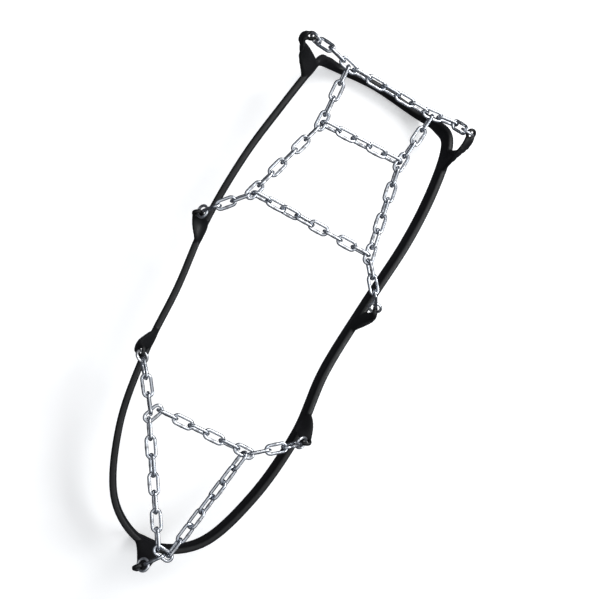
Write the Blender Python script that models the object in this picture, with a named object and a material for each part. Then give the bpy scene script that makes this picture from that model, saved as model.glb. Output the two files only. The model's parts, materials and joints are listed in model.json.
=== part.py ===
"""Shoe ice cleats: a net of welded steel chain that a rubber harness pulls over the tread of a shoe.

The cleats lie as if the shoe were sole up. +Z points out of the sole, +Y points to the toe and +X to the
wearer's right. The chain net is on top, and the harness stands on its toe arch and its heel tab at Z = 0.
Lengths are in metres; the helper mm() turns a place in millimetres into a point.
"""

import math
from collections import namedtuple

import bmesh
import bpy
from mathutils import Matrix, Vector

COLLECTION = "shoe_ice_cleats"
CUTTERS = "cutters"

# Where the middle of the object's footprint falls, in millimetres, in the frame of the places below.
MIDDLE_X = -1.009
MIDDLE_Y = -13.347

# Chain
WIRE_RADIUS = 0.0009
LINK_WIDTH = 0.0064
LINK_INNER = 0.0090
NET_HEIGHT = 0.058
FREE_GAP = 0.0005
FUSED_GAP = -0.0003
LEG_HOLD = 0.0025
NET_LIFT = 0.002

# Rings that join the chain to the rubber
RING_RADIUS = 0.00325
RING_WIRE_RADIUS = 0.00075

# Harness
BAND_HEIGHT = 0.010
BAND_THICKNESS = 0.0045
BAND_CORNER = 0.0012
BAND_STEPS = 3
BAND_LEAN = math.radians(9.0)
LEAN_START = 0.005
LEAN_FULL = 0.020
LUG_EYE_RADIUS = 0.0033
LUG_HOLE_RADIUS = 0.0016
LUG_THICKNESS = 0.0023
LUG_BASE_WIDTH = 0.014
LUG_BASE_THICKNESS = 0.0042
LUG_STEPS = 6
TAB_WIDTH = 0.020
TAB_TOP = 0.022
TAB_CORNER = 0.004

# Centre of the band's section on its way round the shoe, in millimetres.
BAND_ROUTE = [
    (6, 136, 4.6), (-18, 134.5, 4.6), (-30, 131, 15), (-35, 123, 26), (-41.5, 95, 29), (-48, 60, 30),
    (-51, 20, 30), (-49, -20, 30), (-49, -58, 29), (-43.5, -100, 26), (-27, -137, 21), (0, -151, 19),
    (26, -138, 21), (40, -103, 26), (46, -62, 29), (44.5, -25, 30), (49, 16, 30), (55, 60, 30),
    (56, 95, 29), (53, 121, 26), (46, 130, 15), (33, 133.5, 4.6),
]

RUBBER = ((0.012, 0.012, 0.013, 1.0), 0.55, 0.0)
CHAIN_STEEL = ((0.62, 0.64, 0.67, 1.0), 0.28, 1.0)
RING_STEEL = ((0.55, 0.57, 0.60, 1.0), 0.32, 1.0)

UP = Vector((0.0, 0.0, 1.0))

# inner is the length of the opening. along is the link's long direction, and normal is square to its plane.
Link = namedtuple("Link", "centre along normal inner")


def mm(x, y, z=None):
    """The point at a place in millimetres; on the net's middle plane if no height is given."""
    height = NET_HEIGHT if z is None else z / 1000.0
    return Vector(((x - MIDDLE_X) / 1000.0, (y - MIDDLE_Y) / 1000.0, height))


# ---------------------------------------------------------------- scene helpers


def clear_scene():
    for thing in list(bpy.data.objects):
        bpy.data.objects.remove(thing, do_unlink=True)
    for name in (COLLECTION, CUTTERS):
        collection = bpy.data.collections.new(name)
        bpy.context.scene.collection.children.link(collection)


def add_object(name, mesh, collection=COLLECTION):
    thing = bpy.data.objects.new(name, mesh)
    bpy.data.collections[collection].objects.link(thing)
    return thing


def add_cutter(name, mesh):
    cutter = add_object(name, mesh, CUTTERS)
    cutter.hide_render = True
    cutter.display_type = "WIRE"
    return cutter


def add_pivot(name, place):
    """An empty on a joint's axis, for the pieces that turn or slide there."""
    pivot = add_object(name, None)
    pivot.empty_display_size = 0.004
    pivot.location = place
    return pivot


def finish_with(thing, finish):
    """Gives an object a material of its own."""
    colour, roughness, metallic = finish
    material = bpy.data.materials.new(thing.name + "_finish")
    material.use_nodes = True
    shader = material.node_tree.nodes["Principled BSDF"]
    shader.inputs["Base Color"].default_value = colour
    shader.inputs["Roughness"].default_value = roughness
    shader.inputs["Metallic"].default_value = metallic
    material.diffuse_color = colour
    thing.data.materials.append(material)


def hang_on(thing, pivot):
    """Moves an object's origin to a pivot and makes it the pivot's child. Its shape stays where it is."""
    thing.data.transform(Matrix.Translation(thing.location - pivot.location))
    thing.location = (0.0, 0.0, 0.0)
    thing.parent = pivot


def boolean(thing, operation, operand, name):
    modifier = thing.modifiers.new(name, "BOOLEAN")
    modifier.operation = operation
    modifier.solver = "EXACT"
    modifier.object = operand


def smooth(mesh, angle=40.0):
    mesh.shade_smooth()
    mesh.set_sharp_from_angle(angle=math.radians(angle))


def joined(name, meshes):
    """One mesh that holds the faces of several, which are removed."""
    body = bmesh.new()
    for mesh in meshes:
        body.from_mesh(mesh)
        bpy.data.meshes.remove(mesh)
    result = bpy.data.meshes.new(name)
    body.to_mesh(result)
    body.free()
    return result


# ---------------------------------------------------------------- wire shapes


def wire_mesh(name, points, radius):
    """A closed loop of six-sided wire through the points."""
    curve = bpy.data.curves.new(name, "CURVE")
    curve.dimensions = "3D"
    curve.bevel_depth = radius
    curve.bevel_resolution = 1
    spline = curve.splines.new("POLY")
    spline.points.add(len(points) - 1)
    for point, place in zip(spline.points, points):
        point.co = (*place, 1.0)
    spline.use_cyclic_u = True
    guide = bpy.data.objects.new(name, curve)
    bpy.context.scene.collection.objects.link(guide)
    bpy.context.view_layer.update()
    evaluated = guide.evaluated_get(bpy.context.evaluated_depsgraph_get())
    mesh = bpy.data.meshes.new_from_object(evaluated)
    bpy.data.objects.remove(guide, do_unlink=True)
    bpy.data.curves.remove(curve)
    smooth(mesh, 70.0)
    return mesh


def link_mesh(name, link, crown_steps=4):
    """A chain link in its place: two straight legs and two half-round crowns."""
    crown_radius = LINK_WIDTH / 2 - WIRE_RADIUS
    half_leg = link.inner / 2 + WIRE_RADIUS - crown_radius
    across = link.normal.cross(link.along).normalized()
    points = []
    for end in (1.0, -1.0):
        for step in range(crown_steps + 1):
            turn = math.pi * (step / crown_steps - 0.5)
            forward = end * (half_leg + crown_radius * math.cos(turn))
            sideways = end * crown_radius * math.sin(turn)
            points.append(link.centre + link.along * forward + across * sideways)
    return wire_mesh(name, points, WIRE_RADIUS)


def rolled_normal(along, roll):
    """The normal of a link's plane, turned about the link by roll degrees from facing up."""
    flat = (UP - along * UP.dot(along)).normalized()
    return Matrix.Rotation(math.radians(roll), 3, along) @ flat


def make_link(along_from, along_to, roll, inner=LINK_INNER):
    """A link whose far crown's inner face is at along_to, and which comes from along_from."""
    along = (along_to - along_from).normalized()
    return Link(along_to - along * (inner / 2), along, rolled_normal(along, roll), inner)


def crown_wire(link, end, toward):
    """The middle of the wire on a crown, where a chain that pulls toward a point bears on it."""
    crown_radius = LINK_WIDTH / 2 - WIRE_RADIUS
    middle = link.centre + link.along * (end * (link.inner / 2 + WIRE_RADIUS - crown_radius))
    pull = toward - middle
    pull -= link.normal * pull.dot(link.normal)
    return middle + pull.normalized() * crown_radius


def leg_wire(link, side, end=1.0, hold=LEG_HOLD):
    """The middle of the wire on a leg, hold short of where the crown at that end begins to turn."""
    crown_radius = LINK_WIDTH / 2 - WIRE_RADIUS
    across = link.normal.cross(link.along).normalized()
    back = link.inner / 2 + WIRE_RADIUS - crown_radius - hold
    return link.centre + link.along * (end * back) + across * (side * crown_radius)


def middle_of_leg(link, toward):
    """The middle of the wire half way along the leg that is nearer to a point."""
    across = link.normal.cross(link.along).normalized()
    side = math.copysign(LINK_WIDTH / 2 - WIRE_RADIUS, across.dot(toward - link.centre))
    return link.centre + across * side


def run_of_links(start, finish, rolls, gap):
    """Links drawn tight from the wire at start to the wire at finish, gap apart where they touch."""
    along = (finish - start).normalized()
    hook = WIRE_RADIUS + FREE_GAP
    reach = (finish - start).length + 2 * hook
    inner = (reach + (len(rolls) - 1) * gap) / len(rolls)
    first = start - along * (hook - inner / 2)
    return [
        Link(first + along * (index * (inner - gap)), along, rolled_normal(along, roll), inner)
        for index, roll in enumerate(rolls)
    ]


# ---------------------------------------------------------------- chain net

JUNCTIONS = {
    "junction_toe_left": make_link(mm(-44.6, 131.1), mm(-18.9, 124.1), 0),
    "junction_toe_right": make_link(mm(53.6, 126.4), mm(25.6, 123.3), 0),
    "junction_mid_left": make_link(mm(-22.3, 123.6), mm(-23.2, 87.4), 0),
    "junction_mid_right": make_link(mm(28.9, 122.3), mm(25.2, 88.0), 0),
    "junction_ball_left": make_link(mm(-23.2, 87.4), mm(-40.9, 37.6), 0),
    "junction_ball_right": make_link(mm(25.2, 88.0), mm(32.8, 36.0), 0),
    "junction_heel_left": make_link(mm(-37.2, -90.7), mm(-33.6, -82.5), 0),
    "junction_heel_right": make_link(mm(-33.6, -82.5), mm(21.4, -83.8), 0),
    "junction_rear": make_link(mm(-2.7, -148.7), mm(6.1, -150.3), 0),
}

FRONT_NET = [name for name in JUNCTIONS if name.split("_")[1] in ("toe", "mid", "ball")]
HEEL_NET = [name for name in JUNCTIONS if name not in FRONT_NET]


def strand_ends():
    """For each strand, the wires that it hooks at its start and its finish, and its links' rolls."""
    toe_left, toe_right, mid_left, mid_right, ball_left, ball_right, heel_left, heel_right, rear = (
        JUNCTIONS.values()
    )
    return {
        "chain_toe_cross": (
            crown_wire(toe_left, 1, toe_right.centre),
            crown_wire(toe_right, 1, toe_left.centre),
            (75, 0, 72, -5, 75),
        ),
        "chain_left_upper": (
            leg_wire(toe_left, -1),
            crown_wire(mid_left, -1, toe_left.centre),
            (88, 4, 86),
        ),
        "chain_right_upper": (
            leg_wire(toe_right, 1),
            crown_wire(mid_right, -1, toe_right.centre),
            (90, -4, 88),
        ),
        "chain_mid_cross": (leg_wire(mid_left, 1), leg_wire(mid_right, -1), (68, -14, 64, -14, 68)),
        "chain_left_lower": (
            crown_wire(mid_left, 1, ball_left.centre),
            crown_wire(ball_left, -1, mid_left.centre),
            (90, 0, 88, 2, 88),
        ),
        "chain_right_lower": (
            crown_wire(mid_right, 1, ball_right.centre),
            crown_wire(ball_right, -1, mid_right.centre),
            (90, 2, 88, -6, 70),
        ),
        "chain_ball_cross": (
            leg_wire(ball_left, 1),
            leg_wire(ball_right, -1),
            (74, -28, 46, 124, 20, 100, 2, 86),
        ),
        "chain_heel_cross": (
            crown_wire(heel_left, 1, heel_right.centre),
            crown_wire(heel_right, -1, heel_left.centre),
            (86, -4, 72, -12, 78),
        ),
        "chain_heel_left": (
            crown_wire(heel_left, -1, rear.centre),
            crown_wire(rear, -1, heel_left.centre),
            (86, 0, 76, -6, 84, 2, 86),
        ),
        "chain_heel_right": (
            leg_wire(heel_right, -1),
            crown_wire(rear, 1, heel_right.centre),
            (66, -34, 50, -42, 46, -20, 82),
        ),
    }


def build_junctions(pivots):
    for name, link in JUNCTIONS.items():
        thing = add_object(name, link_mesh(name, link))
        finish_with(thing, CHAIN_STEEL)
        hang_on(thing, pivots["front_net" if name in FRONT_NET else "heel_net"])


def build_strands(pivots):
    for name, (start, finish, rolls) in strand_ends().items():
        links = run_of_links(start, finish, rolls, FUSED_GAP)
        pivot = add_pivot("roll_" + name, start)
        net = pivots["heel_net" if "heel" in name else "front_net"]
        pivot.location -= net.location
        pivot.parent = net
        build_strand(name, [link._replace(centre=link.centre - start) for link in links], pivot)


def build_strand(name, links, pivot):
    """A strand whose links are welded into one body: the odd links united with the even ones."""
    odd = joined(name, [link_mesh(name, link) for link in links[0::2]])
    even = joined(name + "_even", [link_mesh(name, link) for link in links[1::2]])
    strand = add_object(name, odd)
    finish_with(strand, CHAIN_STEEL)
    strand.parent = pivot
    cutter = add_cutter(name + "_even_links", even)
    cutter.parent = pivot
    boolean(strand, "UNION", cutter, "even_links")


# ---------------------------------------------------------------- branches from the net to the lugs

# place is the ring's middle and base is where its lug leaves the band, both in millimetres. held is the
# junction that the branch starts from. rolls are those of its links from the net outwards, and the last is
# the drop link's. ring_roll turns the ring about the pull, as rolls do.
Branch = namedtuple("Branch", "name held place base rolls ring_roll")

BRANCHES = [
    Branch("toe_left", "junction_toe_left", (-44.6, 131.1, 51.3), (-36.0, 119.0, 26.8), (80, -6), 72),
    Branch("toe_right", "junction_toe_right", (53.4, 126.4, 52.0), (54.7, 111.0, 28.0), (80, -6), 72),
    Branch("ball_left", "junction_ball_left", (-57.4, 20.7, 46.4), (-50.6, 11.0, 30.0), (82, -8, 80), 148),
    Branch("ball_right", "junction_ball_right", (50.1, 17.2, 48.2), (47.9, 7.5, 30.0), (82, -8, 80), 148),
    Branch("heel_left", "junction_heel_left", (-53.0, -62.3, 52.0), (-49.3, -50.5, 29.3), (88, -6, 80), 148),
    Branch("heel_right", "junction_heel_right", (44.6, -66.1, 51.8), (46.0, -55.0, 29.3), (80, -8, 80), 148),
    Branch("rear", "junction_rear", (-4.0, -159.5, 52.4), (-1.0, -151.0, 19.0), (80,), 148),
]


def branch_wire(branch):
    """The middle of the wire on the junction link that a branch's first link hooks."""
    held = JUNCTIONS[branch.held]
    toward = mm(branch.place[0], branch.place[1])
    if branch.name in ("toe_left", "toe_right"):
        return crown_wire(held, -1, toward)
    if branch.name in ("heel_left", "rear"):
        return middle_of_leg(held, toward)
    return crown_wire(held, 1, toward)


def lift_of(branch, wire):
    """How far the wire that a branch hooks rises when its net is lifted off the sole."""
    if branch.held in FRONT_NET:
        return UP * NET_LIFT
    angle = NET_LIFT / (mm(0, -84).y - heel_axis().y)
    arm = wire - heel_axis()
    arm.x = 0.0
    return Matrix.Rotation(angle, 3, "X") @ arm - arm


def heel_axis():
    """A point on the axis that the heel net tips about: the wire that the rear drop link hooks."""
    return middle_of_leg(JUNCTIONS["junction_rear"], mm(0, -200))


def branch_layout(branch):
    """Where a branch's pieces lie: the pull at its ring, its drop link and its other links.

    The ring and drop link turn as one about the ring's middle, and the other links about the wire that they
    hook. Both parts are long enough to be straight when the net is lifted, and bend upward when it is down.
    They bend where the wire of a flat crown lies in the middle of an upright crown's curve: with one other
    link it is the drop link's crown that lies flat, and with two it is the outer link's.
    """
    ring = mm(*branch.place)
    wire = branch_wire(branch)
    count = len(branch.rolls) - 1
    lifted = (wire + lift_of(branch, wire) - ring).length
    down = wire - ring
    ring_side = RING_RADIUS - RING_WIRE_RADIUS - FREE_GAP
    crown = LINK_WIDTH / 2 - WIRE_RADIUS
    bend = 0.0
    if count:
        inner = (lifted - ring_side - WIRE_RADIUS + crown + count * FREE_GAP) / (count + 1)
        drop_reach = ring_side + inner + WIRE_RADIUS
        link_reach = count * (inner - FREE_GAP)
        if count == 1:
            link_reach -= crown
        else:
            drop_reach -= crown
        cosine = (drop_reach ** 2 + down.length ** 2 - link_reach ** 2) / (2 * drop_reach * down.length)
        bend = math.acos(min(1.0, cosine))
    else:
        inner = down.length - ring_side + WIRE_RADIUS + FREE_GAP
    out = Vector((-down.x, -down.y, 0.0)).normalized()
    hinge = UP.cross(out)
    pull = Matrix.Rotation(bend, 3, hinge) @ down.normalized()
    drop_centre = ring + pull * (ring_side + inner / 2)
    drop = Link(drop_centre, pull, rolled_normal(pull, branch.rolls[-1]), inner)
    links = []
    if count:
        knee = ring + pull * drop_reach
        along = (knee - wire).normalized()
        first = wire + along * (inner / 2 - WIRE_RADIUS - FREE_GAP)
        for index in range(count):
            centre = first + along * (index * (inner - FREE_GAP))
            links.append(Link(centre, along, rolled_normal(along, branch.rolls[index]), inner))
    return ring, wire, hinge, pull, drop, links


def ring_mesh(name, ring, pull, roll, steps=14):
    """A round ring whose plane holds the pull, with its normal turned about the pull by roll degrees."""
    normal = rolled_normal(pull, roll)
    across = normal.cross(pull).normalized()
    points = []
    for step in range(steps):
        turn = 2 * math.pi * step / steps
        spot = pull * math.cos(turn) + across * math.sin(turn)
        points.append(ring + spot * RING_RADIUS)
    return wire_mesh(name, points, RING_WIRE_RADIUS)


def build_branches(pivots):
    for branch in BRANCHES:
        ring, wire, hinge, pull, drop, links = branch_layout(branch)
        swing = add_pivot("swing_" + branch.name, ring)
        ring_name = "ring_" + branch.name
        drop_name = "drop_link_" + branch.name
        ring_object = add_object(ring_name, ring_mesh(ring_name, ring, pull, branch.ring_roll))
        drop_object = add_object(drop_name, link_mesh(drop_name, drop))
        finish_with(ring_object, RING_STEEL)
        finish_with(drop_object, CHAIN_STEEL)
        hang_on(ring_object, swing)
        hang_on(drop_object, swing)
        if links:
            bend = add_pivot("bend_" + branch.name, wire)
            net = pivots["front_net" if branch.held in FRONT_NET else "heel_net"]
            for index, link in enumerate(links, start=1):
                name = f"link_{branch.name}_{index}"
                thing = add_object(name, link_mesh(name, link))
                finish_with(thing, CHAIN_STEEL)
                hang_on(thing, bend)
            bend.location -= net.location
            bend.parent = net


# ---------------------------------------------------------------- rubber harness


def smooth_loop(places, steps):
    """Points of a smooth closed curve through the places, steps to each span."""
    points = []
    count = len(places)
    for index in range(count):
        before, start, finish, after = (places[(index + shift - 1) % count] for shift in range(4))
        for step in range(steps):
            t = step / steps
            points.append(
                0.5 * (
                    2 * start
                    + (finish - before) * t
                    + (2 * before - 5 * start + 4 * finish - after) * t ** 2
                    + (3 * start - before - 3 * finish + after) * t ** 3
                )
            )
    return points


def rounded_rectangle(width, height, corner):
    """The eight corners of a rectangle whose corners are cut off."""
    x, y = width / 2, height / 2
    return [
        (x, y - corner), (x - corner, y), (corner - x, y), (-x, y - corner),
        (-x, corner - y), (corner - x, -y), (x - corner, -y), (x, corner - y),
    ]


def loft(name, sections, closed):
    """A body through sections, each a list of points in the same order. A closed one has no ends."""
    body = bmesh.new()
    loops = [[body.verts.new(point) for point in section] for section in sections]
    pairs = list(zip(loops, loops[1:]))
    if closed:
        pairs.append((loops[-1], loops[0]))
    size = len(loops[0])
    for lower, upper in pairs:
        for index in range(size):
            following = (index + 1) % size
            body.faces.new((lower[index], lower[following], upper[following], upper[index]))
    if not closed:
        body.faces.new(list(reversed(loops[0])))
        body.faces.new(loops[-1])
    bmesh.ops.recalc_face_normals(body, faces=body.faces)
    mesh = bpy.data.meshes.new(name)
    body.to_mesh(mesh)
    body.free()
    smooth(mesh)
    return mesh


def band_lean(height):
    """How far the band's upper edge leans outward, as the shoe's side does. It is upright where it rests."""
    share = (height - LEAN_START) / (LEAN_FULL - LEAN_START)
    return BAND_LEAN * min(1.0, max(0.0, share))


def band_points():
    return smooth_loop([mm(*place) for place in BAND_ROUTE], BAND_STEPS)


def band_side(place):
    """The level direction out of the shoe, square to the band where it passes nearest to a place."""
    points = band_points()
    nearest = min(range(len(points)), key=lambda index: (points[index] - place).length)
    tangent = points[(nearest + 1) % len(points)] - points[nearest - 1]
    return tangent.cross(UP).normalized()


def band_mesh():
    """The band: a rounded rectangle carried round the shoe."""
    points = band_points()
    outline = rounded_rectangle(BAND_THICKNESS, BAND_HEIGHT, BAND_CORNER)
    sections = []
    for index, point in enumerate(points):
        tangent = (points[(index + 1) % len(points)] - points[index - 1]).normalized()
        turn = Matrix.Rotation(band_lean(point.z), 3, tangent)
        side = turn @ tangent.cross(UP).normalized()
        rise = side.cross(tangent)
        sections.append([point + side * x + rise * y for x, y in outline])
    return loft("rubber_harness", sections, closed=True)


def bezier(a, b, c, d, t):
    """The point at t on the cubic curve with these four control points."""
    u = 1.0 - t
    return a * u ** 3 + b * (3 * u * u * t) + c * (3 * u * t * t) + d * t ** 3


def lug_parts(branch):
    """A lug's blade, its round eye and the tool for its hole.

    The blade is a tongue that leaves the band upright, leans along it, and narrows and twists until it
    faces along the ring's wire. It ends in the eye.
    """
    ring, _, _, pull, _, _ = branch_layout(branch)
    eye = ring - pull * RING_RADIUS
    through = rolled_normal(pull, branch.ring_roll).cross(pull).normalized()
    base = mm(*branch.base)
    reach = eye - base
    base_facing = band_side(base)
    if base_facing.dot(through) < 0:
        through = -through
    arrival = (reach - through * reach.dot(through)).normalized()
    shoulder = base + UP * (0.35 * reach.length)
    throat = eye - arrival * (0.35 * reach.length)
    end = eye - arrival * 0.0006
    sections = []
    for step in range(LUG_STEPS + 1):
        t = step / LUG_STEPS
        point = bezier(base, shoulder, throat, end, t)
        ahead = bezier(base, shoulder, throat, end, min(1.0, t + 0.02))
        behind = bezier(base, shoulder, throat, end, max(0.0, t - 0.02))
        tangent = (ahead - behind).normalized()
        facing = base_facing.lerp(through, t)
        facing = (facing - tangent * facing.dot(tangent)).normalized()
        side = tangent.cross(facing)
        narrowing = (1.0 - t) ** 1.3
        width = 2 * LUG_EYE_RADIUS + (LUG_BASE_WIDTH - 2 * LUG_EYE_RADIUS) * narrowing
        thickness = LUG_THICKNESS + (LUG_BASE_THICKNESS - LUG_THICKNESS) * (1.0 - t)
        outline = rounded_rectangle(width, thickness, 0.0006)
        sections.append([point + side * x + facing * y for x, y in outline])
    return (
        loft("blade", sections, closed=False),
        disc_mesh("eye", eye, through, LUG_EYE_RADIUS, LUG_THICKNESS),
        disc_mesh("hole", eye, through, LUG_HOLE_RADIUS, 4 * LUG_THICKNESS),
    )


def disc_mesh(name, centre, axis, radius, depth, sides=16):
    """A short cylinder about an axis through its centre."""
    body = bmesh.new()
    bmesh.ops.create_cone(body, cap_ends=True, segments=sides, radius1=radius, radius2=radius, depth=depth)
    turn = axis.to_track_quat("Z", "Y").to_matrix().to_4x4()
    body.transform(Matrix.Translation(centre) @ turn)
    mesh = bpy.data.meshes.new(name)
    body.to_mesh(mesh)
    body.free()
    smooth(mesh)
    return mesh


def box_mesh(name, low, high, bevel=0.0):
    """A box between two corners, with the edges along Y rounded by bevel."""
    body = bmesh.new()
    bmesh.ops.create_cube(body, size=1.0)
    size = high - low
    bmesh.ops.scale(body, vec=size, verts=body.verts)
    bmesh.ops.translate(body, vec=(low + high) / 2, verts=body.verts)
    if bevel:
        edges = []
        for edge in body.edges:
            start, finish = edge.verts
            if abs(start.co.y - finish.co.y) > size.y / 2:
                edges.append(edge)
        bmesh.ops.bevel(body, geom=edges, offset=bevel, segments=3, profile=0.5, affect="EDGES")
    mesh = bpy.data.meshes.new(name)
    body.to_mesh(mesh)
    body.free()
    return mesh


def build_harness():
    harness = add_object("rubber_harness", band_mesh())
    blades, eyes, holes = zip(*(lug_parts(branch) for branch in BRANCHES))
    boolean(harness, "UNION", add_cutter("lug_blades", joined("lug_blades", blades)), "lug_blades")
    boolean(harness, "UNION", add_cutter("lug_eyes", joined("lug_eyes", eyes)), "lug_eyes")
    boolean(harness, "DIFFERENCE", add_cutter("lug_holes", joined("lug_holes", holes)), "lug_holes")
    rear = mm(3, -150.5, 0)
    half = Vector((TAB_WIDTH / 2, BAND_THICKNESS / 2, 0.0))
    tab = box_mesh("heel_tab", rear - half - UP * 0.006, rear + half + UP * TAB_TOP, TAB_CORNER)
    boolean(harness, "UNION", add_cutter("heel_tab", tab), "heel_tab")
    reach = Vector((0.1, 0.2, 0.0))
    ground = box_mesh("ground", mm(0, 0, -20) - reach, mm(0, 0, 0) + reach)
    boolean(harness, "DIFFERENCE", add_cutter("ground", ground), "ground")
    finish_with(harness, RUBBER)


def main():
    clear_scene()
    pivots = {
        "front_net": add_pivot("front_net_slide", mm(0, 85)),
        "heel_net": add_pivot("heel_net_tip", heel_axis()),
    }
    build_harness()
    build_junctions(pivots)
    build_strands(pivots)
    build_branches(pivots)


main()
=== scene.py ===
"""The looks of the shoe ice cleats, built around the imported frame.

Every chain link, ring and the rubber harness is made again here with a fine surface. Links and rings take
their places from the frame's nodes; the harness repeats the route and the lug bases of the CAD model.
Lengths are in metres unless a name says otherwise.
"""

import json
import math
import random

import bmesh
import bpy
import numpy as np
from mathutils import Matrix, Vector


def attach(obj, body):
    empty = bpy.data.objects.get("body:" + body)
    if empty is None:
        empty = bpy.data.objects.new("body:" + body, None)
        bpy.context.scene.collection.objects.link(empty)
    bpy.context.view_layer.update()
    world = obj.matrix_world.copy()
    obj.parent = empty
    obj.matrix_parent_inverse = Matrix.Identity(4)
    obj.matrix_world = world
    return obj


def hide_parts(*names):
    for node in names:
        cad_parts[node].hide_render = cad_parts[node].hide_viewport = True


UP = Vector((0.0, 0.0, 1.0))

# Chain and rings
WIRE_RADIUS = 0.0009
LINK_WIDTH = 0.0064
RING_RADIUS = 0.00325
RING_WIRE_RADIUS = 0.00078
STRAND_LINKS = {
    "chain_toe_cross": 5,
    "chain_left_upper": 3,
    "chain_right_upper": 3,
    "chain_mid_cross": 5,
    "chain_left_lower": 5,
    "chain_right_lower": 5,
    "chain_ball_cross": 8,
    "chain_heel_cross": 5,
    "chain_heel_left": 7,
    "chain_heel_right": 7,
}
# The CAD wires have six sides, so a link's ends lie this share of a wire's radius beyond its middle.
END_SHARE = 0.93
# The CAD model leaves play between hooked links. The visible ones are drawn tight by this much at each end.
TAKE_UP = 0.00012

# Fine surface of the wire
WIRE_SIDES = 16
CROWN_STEPS = 10
LEG_STEPS = 8
WELD_LENGTH = 0.0011
WELD_SWELL = 0.13
RING_STEPS = 56
RING_SEAM_WIDTH = 0.035
RING_SEAM_SWELL = -0.14

# Harness, as in the CAD model: the middle of the band's section, and where each lug leaves the band
BAND_HEIGHT = 0.010
BAND_THICKNESS = 0.0045
BAND_LEAN = math.radians(9.0)
LEAN_START = 0.005
LEAN_FULL = 0.020
TAB_WIDTH = 0.020
TAB_TOP = 0.022
TAB_CORNER = 0.004
TAB_MIDDLE = (3, -150.5, 0)
TAB_RIBS = (0.0045, 0.007, 0.0095, 0.012)
TAB_RIB_HEIGHT = 0.0005
# The route's points, the lug bases and the tab's middle are in millimetres. This is the middle of their
# outline, which the frame puts at the origin.
MIDDLE_X = -1.009
MIDDLE_Y = -13.347
BAND_ROUTE = [
    (6, 136, 4.6), (-18, 134.5, 4.6), (-30, 131, 15), (-35, 123, 26), (-41.5, 95, 29), (-48, 60, 30),
    (-51, 20, 30), (-49, -20, 30), (-49, -58, 29), (-43.5, -100, 26), (-27, -137, 21), (0, -151, 19),
    (26, -138, 21), (40, -103, 26), (46, -62, 29), (44.5, -25, 30), (49, 16, 30), (55, 60, 30),
    (56, 95, 29), (53, 121, 26), (46, 130, 15), (33, 133.5, 4.6),
]
LUG_BASES = {
    "toe_left": (-36.0, 119.0, 26.8),
    "toe_right": (54.7, 111.0, 28.0),
    "ball_left": (-50.6, 11.0, 30.0),
    "ball_right": (47.9, 7.5, 30.0),
    "heel_left": (-49.3, -50.5, 29.3),
    "heel_right": (46.0, -55.0, 29.3),
    "rear": (-1.0, -151.0, 19.0),
}

# Fine surface of the harness
VOXEL = 0.0005
LUG_BASE_WIDTH = 0.0145
LUG_TIP_WIDTH = 0.0066
LUG_BASE_THICKNESS = 0.0042
LUG_THICKNESS = 0.0023
BAND_STEPS = 10
BAND_HOLLOW = 0.14
TAB_STEPS = 60
# How far the visible tab ends below the top of the CAD model's, inside the band
TAB_SINK = 0.002
RIB_WIDTH = 0.0006
LUG_STEPS = 60
LUG_RIBS = (0.42, 0.52, 0.62, 0.72)
LUG_RIB_HEIGHT = 0.0006
LUG_DISH = 0.0004
LUG_NARROWING = 1.3
# Share of a lug's length over which it leaves the band upright, and over which it arrives at its eye
LUG_BEND = 0.35
# How far the tongue stops short of the middle of the eye's hole
LUG_SETBACK = 0.0022
EYE_STEPS = 36
EYE_RADIUS = 0.0025
EYE_RIM_WIDTH = 0.0016
EYE_RIM_THICKNESS = 0.0024

# Camera
CAMERA_TURN = math.radians(26.5)
CAMERA_TILT = math.radians(14.0)
CAMERA_TARGET = Vector((0.00958, 0.01449, 0.058))
CAMERA_DISTANCE = 0.884
CAMERA_LENS = 100.0

# Light
FLOOR_SIZE = 3.0
FLOOR_DROP = 0.0002
FLOOR_MIRRORED = (0.07, 0.07, 0.078, 1.0)
FLOOR_SEEN = (0.88, 0.88, 0.88, 1.0)
FLOOR_GLOW = (0.34, 0.34, 0.34, 1.0)
WORLD_SEEN = (0.94, 0.945, 0.95, 1.0)
WORLD_STRENGTH = 0.86
# Grey levels of the studio by height, from the horizon and below to straight overhead
WORLD_STOPS = ((0.0, 0.03), (0.30, 0.05), (0.55, 0.25), (0.78, 0.80), (1.0, 1.0))
LIGHT_TARGET = Vector((0.0, 0.0, 0.05))

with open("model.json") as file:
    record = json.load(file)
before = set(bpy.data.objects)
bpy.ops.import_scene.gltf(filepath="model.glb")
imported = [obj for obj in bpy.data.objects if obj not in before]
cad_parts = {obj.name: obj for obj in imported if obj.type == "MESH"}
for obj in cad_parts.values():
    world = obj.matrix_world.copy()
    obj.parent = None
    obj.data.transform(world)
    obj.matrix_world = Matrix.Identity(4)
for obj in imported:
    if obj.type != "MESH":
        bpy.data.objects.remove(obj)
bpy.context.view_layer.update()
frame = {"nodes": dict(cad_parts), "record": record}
chance = random.Random(11)


# ---------------------------------------------------------------- camera, floor and light


def add_camera():
    """Looks down on the net, from a little to the left, with the toe up and to the right in the picture."""
    right = Vector((math.cos(CAMERA_TURN), math.sin(CAMERA_TURN), 0.0))
    above = Vector((-math.sin(CAMERA_TURN), math.cos(CAMERA_TURN), 0.0))
    back = UP * math.cos(CAMERA_TILT) - right * math.sin(CAMERA_TILT)
    side = right * math.cos(CAMERA_TILT) + UP * math.sin(CAMERA_TILT)
    camera = bpy.data.objects.new("camera", bpy.data.cameras.new("camera"))
    camera.data.lens = CAMERA_LENS
    camera.data.sensor_width = 36.0
    camera.data.clip_end = 20.0
    bpy.context.scene.collection.objects.link(camera)
    place = CAMERA_TARGET + back * CAMERA_DISTANCE
    basis = Matrix((side, above, back)).transposed().to_4x4()
    camera.matrix_world = Matrix.Translation(place) @ basis
    bpy.context.scene.camera = camera


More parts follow.
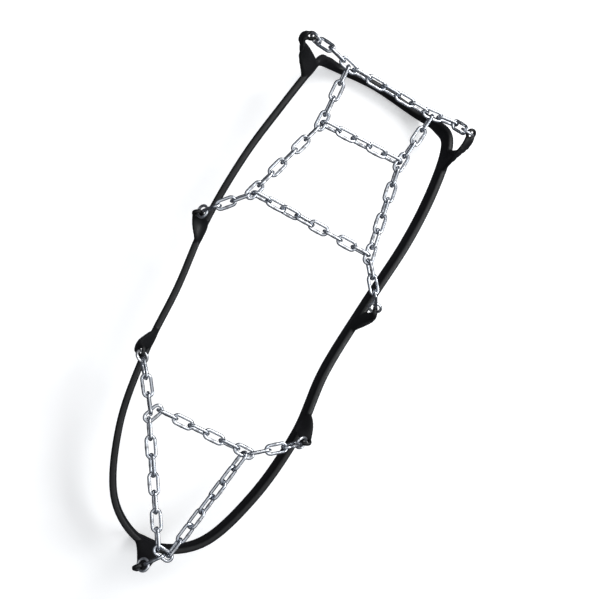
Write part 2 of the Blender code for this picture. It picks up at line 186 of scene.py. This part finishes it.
def add_floor():
    """A floor that the camera sees as plain white, with a faint glow.

    Every other ray meets it near black, so that the chain mirrors about the grey of a shoe's sole.
    """
    body = bmesh.new()
    bmesh.ops.create_grid(body, x_segments=8, y_segments=8, size=FLOOR_SIZE)
    mesh = bpy.data.meshes.new("studio_floor")
    body.to_mesh(mesh)
    body.free()
    floor = bpy.data.objects.new("studio_floor", mesh)
    floor.location.z = -FLOOR_DROP
    bpy.context.scene.collection.objects.link(floor)
    material, shader = new_material("studio_floor")
    nodes = Nodes(material)
    path = material.node_tree.nodes.new("ShaderNodeLightPath")
    seen = path.outputs["Is Camera Ray"]
    unlit = (0.0, 0.0, 0.0, 1.0)
    nodes.link(nodes.mix(seen, FLOOR_MIRRORED, FLOOR_SEEN), shader.inputs["Base Color"])
    nodes.link(nodes.mix(seen, unlit, FLOOR_GLOW), shader.inputs["Emission Color"])
    shader.inputs["Emission Strength"].default_value = 1.0
    shader.inputs["Roughness"].default_value = 0.9
    shader.inputs["Specular IOR Level"].default_value = 0.1
    mesh.materials.append(material)


def add_light(name, place, size, power, colour=(1.0, 1.0, 1.0)):
    """A square soft box that faces the middle of the net."""
    lamp = bpy.data.lights.new(name, "AREA")
    lamp.shape = "SQUARE"
    lamp.size = size
    lamp.energy = power
    lamp.color = colour
    light = bpy.data.objects.new(name, lamp)
    light.location = place
    light.rotation_euler = (Vector(place) - LIGHT_TARGET).to_track_quat("Z", "Y").to_euler()
    bpy.context.scene.collection.objects.link(light)


def add_world():
    """A studio that is white overhead and dark low down, which draws dark lines along the wire's sides.

    The camera sees it as a plain pale wall.
    """
    world = bpy.data.worlds.new("studio")
    bpy.context.scene.world = world
    world.use_nodes = True
    nodes = world.node_tree.nodes
    links = world.node_tree.links
    nodes.clear()
    place = nodes.new("ShaderNodeTexCoord")
    split = nodes.new("ShaderNodeSeparateXYZ")
    ramp = nodes.new("ShaderNodeValToRGB")
    path = nodes.new("ShaderNodeLightPath")
    reflected = nodes.new("ShaderNodeBackground")
    seen = nodes.new("ShaderNodeBackground")
    mix = nodes.new("ShaderNodeMixShader")
    output = nodes.new("ShaderNodeOutputWorld")
    while len(ramp.color_ramp.elements) < len(WORLD_STOPS):
        ramp.color_ramp.elements.new(0.5)
    for element, (position, value) in zip(ramp.color_ramp.elements, WORLD_STOPS):
        element.position = position
        blue = 1.0 + 0.35 * (1.0 - value)
        element.color = (value, value * (1.0 + 0.4 * (blue - 1.0)), value * blue, 1.0)
    reflected.inputs["Strength"].default_value = WORLD_STRENGTH
    seen.inputs["Color"].default_value = WORLD_SEEN
    seen.inputs["Strength"].default_value = 1.0
    links.new(place.outputs["Generated"], split.inputs[0])
    links.new(split.outputs["Z"], ramp.inputs["Fac"])
    links.new(ramp.outputs["Color"], reflected.inputs["Color"])
    links.new(path.outputs["Is Camera Ray"], mix.inputs[0])
    links.new(reflected.outputs[0], mix.inputs[1])
    links.new(seen.outputs[0], mix.inputs[2])
    links.new(mix.outputs[0], output.inputs["Surface"])


# ---------------------------------------------------------------- materials


def new_material(name):
    material = bpy.data.materials.new(name)
    material.use_nodes = True
    return material, material.node_tree.nodes["Principled BSDF"]


class Nodes:
    """Adds nodes to a material in short calls."""

    def __init__(self, material):
        self.tree = material.node_tree
        coordinates = self.tree.nodes.new("ShaderNodeTexCoord")
        self.place = coordinates.outputs["Object"]

    def link(self, start, finish):
        self.tree.links.new(start, finish)

    def noise(self, scale, detail=3.0, roughness=0.5):
        node = self.tree.nodes.new("ShaderNodeTexNoise")
        node.inputs["Scale"].default_value = scale
        node.inputs["Detail"].default_value = detail
        node.inputs["Roughness"].default_value = roughness
        self.link(self.place, node.inputs["Vector"])
        return node.outputs["Fac"]

    def ramp(self, value, stops):
        """Maps a value to a colour; each stop is a position and a grey level or colour."""
        node = self.tree.nodes.new("ShaderNodeValToRGB")
        while len(node.color_ramp.elements) < len(stops):
            node.color_ramp.elements.new(0.5)
        for element, (position, colour) in zip(node.color_ramp.elements, stops):
            if isinstance(colour, float):
                colour = (colour, colour, colour)
            element.position = position
            element.color = (*colour, 1.0)
        self.link(value, node.inputs["Fac"])
        return node.outputs["Color"]

    def mix(self, factor, first, second, blend="MIX"):
        node = self.tree.nodes.new("ShaderNodeMix")
        node.data_type = "RGBA"
        node.blend_type = blend
        for value, socket in ((factor, node.inputs[0]), (first, node.inputs[6]), (second, node.inputs[7])):
            if isinstance(value, (float, tuple)):
                socket.default_value = value
            else:
                self.link(value, socket)
        return node.outputs[2]

    def attribute(self, name):
        node = self.tree.nodes.new("ShaderNodeAttribute")
        node.attribute_name = name
        return node.outputs["Fac"]

    def bump(self, height, strength, distance, normal=None):
        node = self.tree.nodes.new("ShaderNodeBump")
        node.inputs["Strength"].default_value = strength
        node.inputs["Distance"].default_value = distance
        self.link(height, node.inputs["Height"])
        if normal:
            self.link(normal, node.inputs["Normal"])
        return node.outputs["Normal"]


def steel_material(name, bright, dark, roughness):
    """Bright zinc-plated wire: each link a little lighter or darker, with tarnish at the weld."""
    material, shader = new_material(name)
    nodes = Nodes(material)
    mottle = nodes.noise(420.0, 4.0, 0.6)
    patches = nodes.ramp(mottle, ((0.32, dark), (0.62, bright)))
    tone = nodes.ramp(nodes.attribute("tone"), ((0.0, (0.84, 0.85, 0.87)), (1.0, (1.0, 1.0, 1.0))))
    toned = nodes.mix(1.0, patches, tone, "MULTIPLY")
    tarnish = nodes.ramp(nodes.attribute("weld"), ((0.15, 0.0), (0.9, 0.75)))
    colour = nodes.mix(tarnish, toned, (0.30, 0.30, 0.31, 1.0))
    nodes.link(colour, shader.inputs["Base Color"])
    low, high = roughness
    scuffs = nodes.noise(900.0, 5.0, 0.65)
    smooth = nodes.ramp(scuffs, ((0.30, low), (0.70, high)))
    nodes.link(nodes.mix(tarnish, smooth, (0.5, 0.5, 0.5, 1.0)), shader.inputs["Roughness"])
    shader.inputs["Metallic"].default_value = 1.0
    fine = nodes.bump(nodes.noise(2600.0, 3.0), 0.10, 0.0001)
    nodes.link(nodes.bump(nodes.noise(650.0, 2.0), 0.22, 0.0002, fine), shader.inputs["Normal"])
    return material


def rubber_material():
    """Moulded black rubber: satin, finely grained, with a faint grey bloom."""
    material, shader = new_material("harness_rubber")
    nodes = Nodes(material)
    bloom = nodes.ramp(nodes.noise(55.0, 5.0, 0.6), ((0.42, 0.0), (0.78, 0.55)))
    colour = nodes.mix(bloom, (0.0055, 0.0057, 0.0064, 1.0), (0.014, 0.014, 0.0155, 1.0))
    nodes.link(colour, shader.inputs["Base Color"])
    rough = nodes.ramp(nodes.noise(140.0, 4.0, 0.6), ((0.30, 0.36), (0.72, 0.56)))
    nodes.link(rough, shader.inputs["Roughness"])
    shader.inputs["Specular IOR Level"].default_value = 0.42
    grain = nodes.bump(nodes.noise(3200.0, 2.0), 0.25, 0.00008)
    nodes.link(nodes.bump(nodes.noise(260.0, 3.0), 0.15, 0.0004, grain), shader.inputs["Normal"])
    return material


# ---------------------------------------------------------------- reading the frame


def surface_points(node):
    """The different vertices of a CAD node, one row each."""
    mesh = frame["nodes"][node].data
    points = np.empty(len(mesh.vertices) * 3)
    mesh.vertices.foreach_get("co", points)
    return np.unique(points.reshape(-1, 3).round(7), axis=0)


def main_axes(points):
    """The middle of some points and the directions in which they spread, the longest first."""
    middle = points.mean(axis=0)
    axes = np.linalg.svd(points - middle, full_matrices=False)[2]
    return Vector(middle), [Vector(axis) for axis in axes]


def section(node, point, normal):
    """Where a plane cuts a CAD node's surface."""
    body = bmesh.new()
    body.from_mesh(frame["nodes"][node].data)
    geometry = body.verts[:] + body.edges[:] + body.faces[:]
    cut = bmesh.ops.bisect_plane(body, geom=geometry, dist=1e-7, plane_co=point, plane_no=normal)
    points = [item.co.copy() for item in cut["geom_cut"] if isinstance(item, bmesh.types.BMVert)]
    body.free()
    return points


def leg_direction(node, point, along):
    """The direction across a link, from one leg's section to the other's."""
    points = [spot - point for spot in section(node, point, along)]
    far = max(points, key=lambda spot: spot.length)
    plus = [spot for spot in points if spot.dot(far) > 0]
    minus = [spot for spot in points if spot.dot(far) <= 0]
    across = sum(plus, Vector()) / len(plus) - sum(minus, Vector()) / len(minus)
    return (across - along * across.dot(along)).normalized()


def links_in(node, count):
    """The middle, long direction, cross direction and opening of each link that a CAD node holds."""
    points = surface_points(node)
    middle, axes = main_axes(points)
    along = axes[0]
    spread = (points - np.array(middle)) @ np.array(along)
    low, high = spread.min(), spread.max()
    reach = high - low - 2 * WIRE_RADIUS * (1 + END_SHARE) - 2 * TAKE_UP
    inner = reach / count
    start = middle + along * ((low + high) / 2 - reach / 2)
    links = []
    for index in range(count):
        centre = start + along * (inner * (index + 0.5))
        links.append((centre, along, leg_direction(node, centre, along), inner))
    return links


# ---------------------------------------------------------------- chain


def link_path(centre, along, across, inner):
    """The wire's middle line round a link, with how near each point is to the weld on one leg."""
    crown = LINK_WIDTH / 2 - WIRE_RADIUS
    half_leg = inner / 2 + WIRE_RADIUS - crown
    path = []
    for end in (1.0, -1.0):
        for step in range(CROWN_STEPS + 1):
            turn = math.pi * (step / CROWN_STEPS - 0.5)
            forward = end * (half_leg + crown * math.cos(turn))
            sideways = end * crown * math.sin(turn)
            path.append((centre + along * forward + across * sideways, 0.0))
        for step in range(1, LEG_STEPS):
            forward = end * half_leg * (1.0 - 2.0 * step / LEG_STEPS)
            weld = math.exp(-((forward / WELD_LENGTH) ** 2)) if end > 0 else 0.0
            path.append((centre + along * forward + across * (end * crown), weld))
    return path


def sweep(body, path, normal, radius, tone, swell=WELD_SWELL):
    """Adds a closed loop of round wire along a flat path to a mesh."""
    tones = body.verts.layers.float["tone"]
    welds = body.verts.layers.float["weld"]
    rings = []
    for index, (point, weld) in enumerate(path):
        ahead = path[(index + 1) % len(path)][0]
        tangent = (ahead - path[index - 1][0]).normalized()
        side = tangent.cross(normal).normalized()
        reach = radius * (1.0 + swell * weld)
        ring = []
        for step in range(WIRE_SIDES):
            turn = 2 * math.pi * step / WIRE_SIDES
            vertex = body.verts.new(point + (side * math.cos(turn) + normal * math.sin(turn)) * reach)
            vertex[tones] = tone
            vertex[welds] = weld
            ring.append(vertex)
        rings.append(ring)
    for lower, upper in zip(rings, rings[1:] + rings[:1]):
        for step in range(WIRE_SIDES):
            following = (step + 1) % WIRE_SIDES
            face = body.faces.new((lower[step], upper[step], upper[following], lower[following]))
            face.smooth = True


def wire_body():
    body = bmesh.new()
    body.verts.layers.float.new("tone")
    body.verts.layers.float.new("weld")
    return body


def finish_piece(name, body, material, node):
    """Makes a piece of a finished mesh, which stands for a CAD node and moves with its body."""
    bmesh.ops.recalc_face_normals(body, faces=body.faces)
    mesh = bpy.data.meshes.new(name)
    body.to_mesh(mesh)
    body.free()
    mesh.materials.append(material)
    piece = bpy.data.objects.new(name, mesh)
    bpy.context.scene.collection.objects.link(piece)
    for body_name, nodes in frame["record"]["behaviour"]["bodies"].items():
        if node in nodes:
            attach(piece, body_name)
    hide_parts(node)
    return piece


def add_links(node, material):
    """Remakes a chain link, or the row of links of a strand, from its CAD node."""
    count = STRAND_LINKS.get(node, 1)
    body = wire_body()
    for centre, along, across, inner in links_in(node, count):
        path = link_path(centre, along, across, inner)
        sweep(body, path, across.cross(along), WIRE_RADIUS, chance.random())
    finish_piece("fine_" + node, body, material, node)


def add_ring(node, material):
    """Remakes a ring: round wire with a fine butt joint."""
    points = surface_points(node)
    middle, axes = main_axes(points)
    path = []
    for step in range(RING_STEPS):
        turn = 2 * math.pi * step / RING_STEPS
        seam = math.exp(-((math.sin(turn / 2) / RING_SEAM_WIDTH) ** 2))
        spot = axes[0] * math.cos(turn) + axes[1] * math.sin(turn)
        path.append((middle + spot * RING_RADIUS, seam))
    body = wire_body()
    sweep(body, path, axes[2], RING_WIRE_RADIUS, chance.random(), swell=RING_SEAM_SWELL)
    finish_piece("fine_" + node, body, material, node)


# ---------------------------------------------------------------- harness


def mm(x, y, z):
    return Vector(((x - MIDDLE_X) / 1000.0, (y - MIDDLE_Y) / 1000.0, z / 1000.0))


def smooth_loop(places, steps):
    """Points of a smooth closed curve through the places, steps to each span."""
    points = []
    count = len(places)
    for index in range(count):
        before, start, finish, after = (places[(index + shift - 1) % count] for shift in range(4))
        for step in range(steps):
            t = step / steps
            points.append(
                0.5 * (
                    2 * start
                    + (finish - before) * t
                    + (2 * before - 5 * start + 4 * finish - after) * t ** 2
                    + (3 * start - before - 3 * finish + after) * t ** 3
                )
            )
    return points


def soft_rectangle(width, height, power, sides=24):
    """A rectangle with soft corners; a higher power makes them tighter."""
    outline = []
    for step in range(sides):
        turn = 2 * math.pi * (step + 0.5) / sides
        x = math.copysign(abs(math.cos(turn)) ** (2.0 / power), math.cos(turn))
        y = math.copysign(abs(math.sin(turn)) ** (2.0 / power), math.sin(turn))
        outline.append((x * width / 2, y * height / 2))
    return outline


def skin(body, sections, closed):
    """Adds a solid through sections with as many points each."""
    loops = [[body.verts.new(point) for point in points] for points in sections]
    pairs = list(zip(loops, loops[1:]))
    if closed:
        pairs.append((loops[-1], loops[0]))
    size = len(loops[0])
    faces = []
    for lower, upper in pairs:
        for index in range(size):
            following = (index + 1) % size
            faces.append(body.faces.new((lower[index], lower[following], upper[following], upper[index])))
    if not closed:
        faces.append(body.faces.new(list(reversed(loops[0]))))
        faces.append(body.faces.new(loops[-1]))
    bmesh.ops.recalc_face_normals(body, faces=faces)


def add_band(body):
    points = smooth_loop([mm(*place) for place in BAND_ROUTE], BAND_STEPS)
    outline = []
    for x, y in soft_rectangle(BAND_THICKNESS, BAND_HEIGHT, 3.4):
        hollow = BAND_HOLLOW * (1.0 - (2 * y / BAND_HEIGHT) ** 2)
        outline.append((x * (1.0 - hollow), y))
    sections = []
    for index, point in enumerate(points):
        tangent = (points[(index + 1) % len(points)] - points[index - 1]).normalized()
        share = (point.z - LEAN_START) / (LEAN_FULL - LEAN_START)
        turn = Matrix.Rotation(BAND_LEAN * min(1.0, max(0.0, share)), 3, tangent)
        side = turn @ tangent.cross(UP).normalized()
        rise = side.cross(tangent)
        sections.append([point + side * x + rise * y for x, y in outline])
    skin(body, sections, closed=True)


def bezier(a, b, c, d, t):
    u = 1.0 - t
    return a * u ** 3 + b * (3 * u * u * t) + c * (3 * u * t * t) + d * t ** 3


def band_side(place):
    """The level direction out of the shoe, square to the band where it passes nearest to a place."""
    points = smooth_loop([mm(*spot) for spot in BAND_ROUTE], BAND_STEPS)
    nearest = min(range(len(points)), key=lambda index: (points[index] - place).length)
    tangent = points[(nearest + 1) % len(points)] - points[nearest - 1]
    return tangent.cross(UP).normalized()


def add_lug(body, name):
    """A tongue that leaves the band upright, leans along it, narrows, and twists to face the ring's wire.

    Its outer side has low grip ribs, and its edges are thicker than its middle.
    """
    ring, ring_axes = main_axes(surface_points("ring_" + name))
    drop, _ = main_axes(surface_points("drop_link_" + name))
    pull = (drop - ring).normalized()
    through = ring_axes[2].cross(pull).normalized()
    eye = ring - pull * RING_RADIUS
    base = mm(*LUG_BASES[name])
    base_facing = band_side(base)
    if base_facing.dot(through) < 0:
        through = -through
    reach = eye - base
    arrival = (reach - through * reach.dot(through)).normalized()
    shoulder = base + UP * (LUG_BEND * reach.length)
    throat = eye - arrival * (LUG_BEND * reach.length)
    end = eye - arrival * LUG_SETBACK
    sections = []
    for step in range(LUG_STEPS + 1):
        t = step / LUG_STEPS
        point = bezier(base, shoulder, throat, end, t)
        ahead = bezier(base, shoulder, throat, end, min(1.0, t + 0.02))
        behind = bezier(base, shoulder, throat, end, max(0.0, t - 0.02))
        tangent = (ahead - behind).normalized()
        facing = base_facing.lerp(through, t)
        facing = (facing - tangent * facing.dot(tangent)).normalized()
        side = tangent.cross(facing)
        width = LUG_TIP_WIDTH + (LUG_BASE_WIDTH - LUG_TIP_WIDTH) * (1.0 - t) ** LUG_NARROWING
        thickness = LUG_THICKNESS + (LUG_BASE_THICKNESS - LUG_THICKNESS) * (1.0 - t)
        rib = sum(math.exp(-(((t - place) * reach.length / RIB_WIDTH) ** 2)) for place in LUG_RIBS)
        outline = []
        for x, y in soft_rectangle(width, thickness, 2.6, 36):
            middle = 1.0 - (2.0 * x / width) ** 2
            if y > 0:
                y += LUG_RIB_HEIGHT * rib * middle ** 0.5 - LUG_DISH * middle * (1.0 - t)
            outline.append(point + side * x + facing * y)
        sections.append(outline)
    skin(body, sections, closed=False)
    add_eye(body, eye, pull, through)


def add_eye(body, centre, pull, through):
    """A lug's eye: a thick rim round the hole that the ring runs through."""
    across = through.cross(pull).normalized()
    sections = []
    for step in range(EYE_STEPS):
        turn = 2 * math.pi * step / EYE_STEPS
        radial = pull * math.cos(turn) + across * math.sin(turn)
        middle = centre + radial * EYE_RADIUS
        outline = soft_rectangle(EYE_RIM_WIDTH, EYE_RIM_THICKNESS, 2.4, 14)
        sections.append([middle + radial * x + through * y for x, y in outline])
    skin(body, sections, closed=True)


def add_tab(body):
    """The heel tab: a plate with round corners below the band, with grip ribs on its outer side."""
    middle = mm(*TAB_MIDDLE)
    half = TAB_WIDTH / 2
    sections = []
    for step in range(TAB_STEPS + 1):
        height = (TAB_TOP - TAB_SINK) * step / TAB_STEPS
        corner = max(0.0, TAB_CORNER - height)
        inset = TAB_CORNER - math.sqrt(TAB_CORNER ** 2 - corner ** 2)
        rib = sum(math.exp(-(((height - place) / RIB_WIDTH) ** 2)) for place in TAB_RIBS)
        outline = []
        for x, y in soft_rectangle(2 * (half - inset), BAND_THICKNESS - 0.0004, 6.0, 64):
            if y < 0:
                y -= TAB_RIB_HEIGHT * rib * max(0.0, 1.0 - (x / (0.8 * half)) ** 8)
            outline.append(middle + Vector((x, y, height)))
        sections.append(outline)
    skin(body, sections, closed=False)


def build_harness(material):
    """Joins band, lugs and tab into one skin, as they are moulded, and stands it on the floor."""
    body = bmesh.new()
    add_band(body)
    for name in LUG_BASES:
        add_lug(body, name)
    add_tab(body)
    mesh = bpy.data.meshes.new("harness_parts")
    body.to_mesh(mesh)
    body.free()
    draft = bpy.data.objects.new("harness_parts", mesh)
    bpy.context.scene.collection.objects.link(draft)
    remesh = draft.modifiers.new("one_skin", "REMESH")
    remesh.mode = "VOXEL"
    remesh.voxel_size = VOXEL
    soften = draft.modifiers.new("soften", "SMOOTH")
    soften.factor = 0.5
    soften.iterations = 3
    bpy.context.view_layer.update()
    evaluated = draft.evaluated_get(bpy.context.evaluated_depsgraph_get())
    fine = bpy.data.meshes.new_from_object(evaluated)
    bpy.data.objects.remove(draft, do_unlink=True)
    body = bmesh.new()
    body.from_mesh(fine)
    for vertex in body.verts:
        vertex.co.z = max(vertex.co.z, 0.0)
    for face in body.faces:
        face.smooth = True
    finish_piece("fine_rubber_harness", body, material, "rubber_harness")


# ---------------------------------------------------------------- everything


bpy.context.scene.view_settings.view_transform = "Standard"
add_camera()
add_world()
add_floor()
add_light("key", (0.22, 0.72, 0.70), 0.5, 5.5)
add_light("fill", (0.75, 0.10, 0.70), 0.40, 3.2, (0.95, 0.98, 1.0))
chain_steel = steel_material("zinc_chain", (0.78, 0.80, 0.83), (0.54, 0.57, 0.62), (0.13, 0.28))
ring_steel = steel_material("ring_wire", (0.86, 0.87, 0.89), (0.70, 0.72, 0.75), (0.28, 0.44))
build_harness(rubber_material())
for node in sorted(frame["nodes"]):
    if node.startswith("ring_"):
        add_ring(node, ring_steel)
    elif node != "rubber_harness":
        add_links(node, chain_steel)
